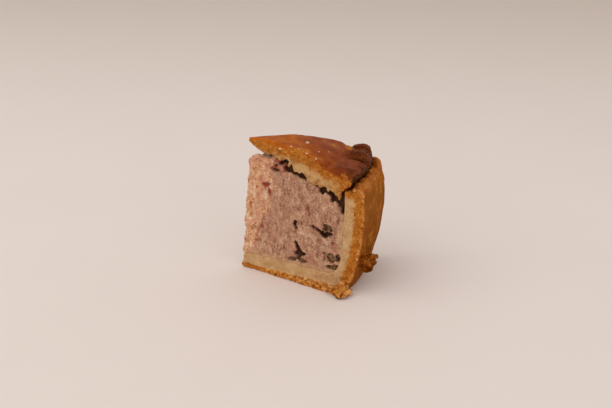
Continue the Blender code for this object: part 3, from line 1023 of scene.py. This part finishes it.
def crimp_move(point):
    """Square and flatten the front crimp, crease it off from the knob, and dip the skin before the knob."""
    azimuth = azimuth_of(point)
    radius = pie_radius(point)
    across, up = radius - ROLL_RADIUS, point.z / MM - ROLL_HEIGHT
    radial = outward(point)
    move = Vector((0, 0, 0))
    front = smoothstep(FRONT_CRIMP + 0.8, FRONT_CRIMP - 1.6, azimuth)
    if front > 0.0 and up > 0.0 and radius > 42.5:
        if across > 0.3:
            square = math.hypot(across, up) / (across ** 4 + up ** 4) ** 0.25 - 1.0
            move += (radial * across + UP * up) * square * front * 0.65
        cap = CRIMP_TOP - 0.14 * (radius - 47.0) + 0.6 * rough(point, 3.0, 41.0)
        cap -= 0.3 * max(0.0, radius - 50.6) ** 1.6 + 1.1 * smoothstep(-2.2, 0.0, front_coords(point)[2])
        move.z -= max(0.0, point.z / MM + move.z - cap) * front
    crease = bell(azimuth - FRONT_CRIMP, 1.5) * smoothstep(45.0, 48.0, radius)
    if up > -1.0:
        move -= (UP * 2.6 + radial * 1.5 * smoothstep(0.0, 3.0, across)) * crease
    dip = bell(azimuth - 3.0, 4.0) * bell(radius - 44.8, 1.3) * smoothstep(0.0, 2.0, up)
    move -= UP * 1.1 * dip
    if azimuth > FRONT_CRIMP:
        beside = FAR_RIM_TOP if azimuth > 14.0 else SADDLE_TOP
        cap = max(KNOB_TOP - 0.045 * (azimuth - 7.0) ** 2, beside)
        cap -= 0.12 * max(0.0, radius - 50.0) ** 2
        move.z -= max(0.0, point.z / MM - cap) * smoothstep(46.0, 47.5, radius)
        move -= radial * 0.6 * smoothstep(1.5, 4.0, across) * smoothstep(-1.0, 1.0, up)
        move -= UP * 0.7 * smoothstep(50.0, 53.0, point.z / MM) * smoothstep(44.0, 46.0, radius)
    return move


def lid_push(point, normal):
    reach, height, out = front_coords(point)
    back = behind_back(point)
    cut = smoothstep(-0.6, -0.2, max(out, back + 1.0))
    top = smoothstep(0.1, 0.5, normal.z)
    move = normal * top * (0.15 + 0.28 * rough(point, 8.0, 31.0) + 0.06 * rough(point, 1.8, 32.0))
    rim = smoothstep(43.0, 46.0, pie_radius(point))
    knobby = near(point, KNOB, 6.2, 4.8)
    wrinkle = smoothstep(0.2, 0.0, abs(wander(point, 2.4, 39.0)))
    bumps = (0.22 + 0.25 * knobby) * rough(point, 2.8, 33.0)
    move += normal * rim * (bumps - (0.25 + 0.6 * knobby) * wrinkle)
    move += crimp_move(point)
    flaky = cells(Vector((reach / 2.6, height / 0.9, out / 2.0)) * MM, 1.0, 34.0)
    crumbly = 0.5 * rough(point, 2.3, 35.0) + 0.08 * (flaky - 0.5)
    crumbly -= 0.6 * smoothstep(0.32, 0.6, wander(point, 1.7, 54.0))
    move += normal * cut * (1.0 - top) * crumbly
    if normal.z < -0.2 and reach < 50.0:
        ragged = 1.1 * rough(point, 5.0, 36.0) + 0.2 * rough(point, 1.3, 44.0)
        move += UP * smoothstep(-4.0, -0.5, max(out, back)) * ragged
        move -= UP * SAG * bell(reach - SAG_REACH, 3.4) * smoothstep(-4.0, -0.5, out)
    if top > 0.0:
        edge = smoothstep(-2.4, -0.2, out)
        chips = 0.35 * smoothstep(0.1, 0.5, wander(point, 1.2, 42.0))
        move += normal * edge * top * (0.5 * rough(point, 1.7, 37.0) - chips)
    return move


def plain_top(point, normal):
    """Whether a point is on the glazed top, clear of the cuts and of the knob."""
    return normal.z > 0.2 and past_cuts(point) < -0.5 and (point - KNOB).length > 5.6 * MM


lid = as_object("crust_lid", lid_bm)
remeshed(lid, 0.34)
sculpted(lid, lid_push)
remeshed(lid, 0.3)
without_specks(lid)
eased(lid, plain_top, 4)


def glazed(face):
    """Whether a face of the shaped lid is its baked top: upward or outward, and clear of the cuts."""
    return past_cuts(face.center) < -0.9 and (face.normal.z > 0.25 or pie_radius(face.center) > 53.0)


glazed_tree = tree_of(lid, [face for face in lid.data.polygons if glazed(face)])


def glaze_depth(point):
    """Depth below the glaze in mm; the crimp's cut end is bare up to its edge."""
    depth = max(0.0, glazed_tree.find_nearest(point)[3] / MM - 0.5)
    out = max(front_coords(point)[2], behind_back(point) - 0.3) + 0.5 * rough(point, 1.6, 47.0)
    return max(depth, 1.8 * smoothstep(-1.0, -0.4, out) * smoothstep(47.5, 49.5, pie_radius(point)))


def lid_marks(point, normal):
    """What the glaze's finish reads: depth in mm, the rest from 0 to 1."""
    azimuth = azimuth_of(point)
    radius = pie_radius(point)
    behind_crease = smoothstep(FRONT_CRIMP - 0.6, FRONT_CRIMP + 0.8, azimuth + 0.6 * rough(point, 2.0, 48.0))
    # partly painted shade: the steep outer sides of the crimps, most at the front, are marked to be painted
    # dark
    steep = smoothstep(0.92, 0.55, normal.z + 0.3 * rough(point, 2.0, 49.0)) * smoothstep(50.8, 52.2, radius)
    off_cuts = smoothstep(0.8, 0.45, max(normal.dot(front_out), normal.dot(back_out)))
    return {
        "depth": glaze_depth(point),
        "knob": behind_crease * smoothstep(17.0, 14.0, azimuth) * smoothstep(45.2, 46.8, radius),
        "pinch": smoothstep(3.6, 2.0, (point - PINCH).length / MM + 0.8 * rough(point, 2.0, 45.0)),
        "rim": smoothstep(43.6, 46.5, radius),
        "edge": smoothstep(-3.0, -0.2, front_coords(point)[2]),
        "bake": smoothstep(8.0, 46.0, radius),
        "side": steep * off_cuts * (0.15 + 0.85 * smoothstep(6.0, -1.0, azimuth)),
        # painted shade: the lid's underside inside the wedge is marked for a near black colour
        "hidden": smoothstep(-0.7, -2.5, past_cuts(point)) * smoothstep(0.0, -0.3, normal.z),
    }


store(lid, lid_marks)

# %% Mix the glaze's colours
glaze = Finish("glazed crust")
lid_depth = glaze.attribute("depth")
knob = glaze.attribute("knob")
rim = glaze.attribute("rim")
edge = glaze.attribute("edge")
colour, fleck, mottle = crust_colour(glaze, lid_depth * (1.0 - rim * 0.45), (
    (0.26, (0.15, 0.026, 0.004)), (0.38, (0.25, 0.05, 0.008)),
    (0.5, (0.35, 0.078, 0.009)), (0.62, (0.48, 0.122, 0.008))),
    0.13 + edge * 0.07 - glaze.attribute("bake") * 0.24, 0.0, 2.0)
blush = glaze.noise(5.0, detail=3.0)
dark_rim = glaze.mix(blush.step(0.4, 0.6), (0.135, 0.025, 0.007), (0.215, 0.044, 0.011))
shallow = 1.0 - lid_depth.step(0.6, 1.5)
colour = glaze.mix(rim * shallow * (1.0 - edge * 0.45) * 0.9, colour, dark_rim)
colour = glaze.mix(glaze.attribute("pinch") * shallow * 0.8, colour, (0.52, 0.17, 0.014))
knob_tone = (fleck * 0.4 + mottle * 0.6).step(0.38, 0.62)
knob_skin = glaze.mix(knob_tone, (0.05, 0.009, 0.001), (0.185, 0.042, 0.006))
colour = glaze.mix(knob * shallow * 0.92, colour, knob_skin)
inner_tone = glaze.mix(mottle.step(0.4, 0.6), (0.34, 0.135, 0.028), (0.56, 0.32, 0.125))
colour = glaze.mix(lid_depth.step(3.0, 4.5) * 0.6, colour, inner_tone)
# painted shade: the lid's hidden underside, over the space above the meat, is painted near black
colour = glaze.mix(glaze.attribute("hidden") * 0.95, colour, (0.055, 0.014, 0.004))
# partly painted shade: the steep side of the front crimp is painted dark, as shade on the side turned from
# the light, with the crust's own dark specks
side_shade_tone = glaze.mix(fleck.step(0.45, 0.6), (0.04, 0.011, 0.002), (0.12, 0.042, 0.008))
colour = glaze.mix(glaze.attribute("side") * 0.9, colour, side_shade_tone)
glaze_relief = mottle * 0.35 + fleck * 0.3 + glaze.noise(0.3, detail=2.0) * 0.15
glaze_finish = glaze.finish(colour, 0.5 + lid_depth.step(0.4, 1.5) * 0.25 - mottle * 0.12,
                            glaze.bump(glaze_relief, 0.35), Specular_IOR_Level=0.04)
finished(lid, glaze_finish, "pastry_lid")

# %% [markdown]
# ## Crumbs
#
# A few pale crumbs of pastry lie on the glazed top and along the cut's edges.

# %% Scatter the crumbs
CRUMBS = (        # azimuth, reach, half size in mm
    (-19.4, 20.4, 0.7), (-3.6, 29.3, 0.75), (-18.9, 32, 0.5), (-18.4, 25, 0.45), (-18.5, 36, 0.45),
    (-10, 35, 0.3), (-18.8, 28.5, 0.3), (-5, 38, 0.25),
)
crumb_bm = bmesh.new()
finished_lid = tree_of(lid, lid.data.polygons)
for number, (azimuth, reach, half) in enumerate(CRUMBS):
    above = polar(azimuth, reach, 70.0)
    hit = finished_lid.ray_cast(above, -UP)
    if hit[0] is not None:
        lump(crumb_bm, hit[0] + UP * half * 0.4 * MM, (half, half * 0.8, half * 0.7), jag=0.5, grain=2.0,
             seed=number + 90, finer=2)
crumbs = as_object("loose_crumbs", crumb_bm)
pale = Finish("pale crumb")
crumb_tone = pale.noise(0.5, detail=2.0)
crumb_finish = pale.finish(pale.mix(crumb_tone, (0.62, 0.36, 0.2), (0.85, 0.62, 0.42)), 0.7,
                           pale.bump(crumb_tone, 0.2), Specular_IOR_Level=0.3)
finished(crumbs, crumb_finish, None)
